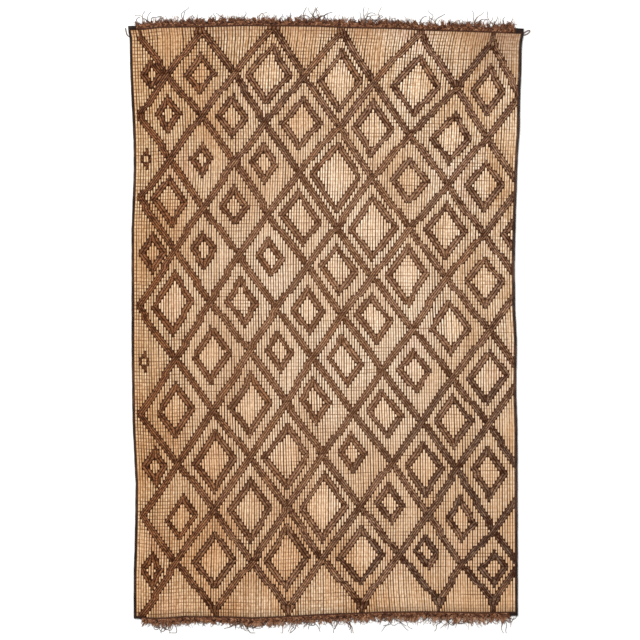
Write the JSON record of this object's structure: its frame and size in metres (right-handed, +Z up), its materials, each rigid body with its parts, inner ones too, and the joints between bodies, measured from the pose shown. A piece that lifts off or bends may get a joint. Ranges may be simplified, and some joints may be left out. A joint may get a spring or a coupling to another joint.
{
  "type": "reed and leather floor mat",
  "caption": "Flat floor mat of reeds bound by leather thong in a raised lattice of diamonds, with leather side bindings and fringed end bands.",
  "frame": {"origin": "middle of the mat's underside, on the floor", "axes": "+Z up through the mat, +Y along its length towards the end with the thong loop, +X across it to the right"},
  "size_m": [1.2871, 1.9941, 0.0065],
  "materials": {
    "reed": "dry split reed, satin, stained by age",
    "binding_leather": "worn near-black leather",
    "thong_leather": "dull brown thong leather"
  },
  "bodies": {
    "root": {"mat_field": "reed", "binding_left": "binding_leather", "binding_right": "binding_leather", "end_band_top": "thong_leather", "end_band_bottom": "thong_leather"}
  },
  "joints": []
}
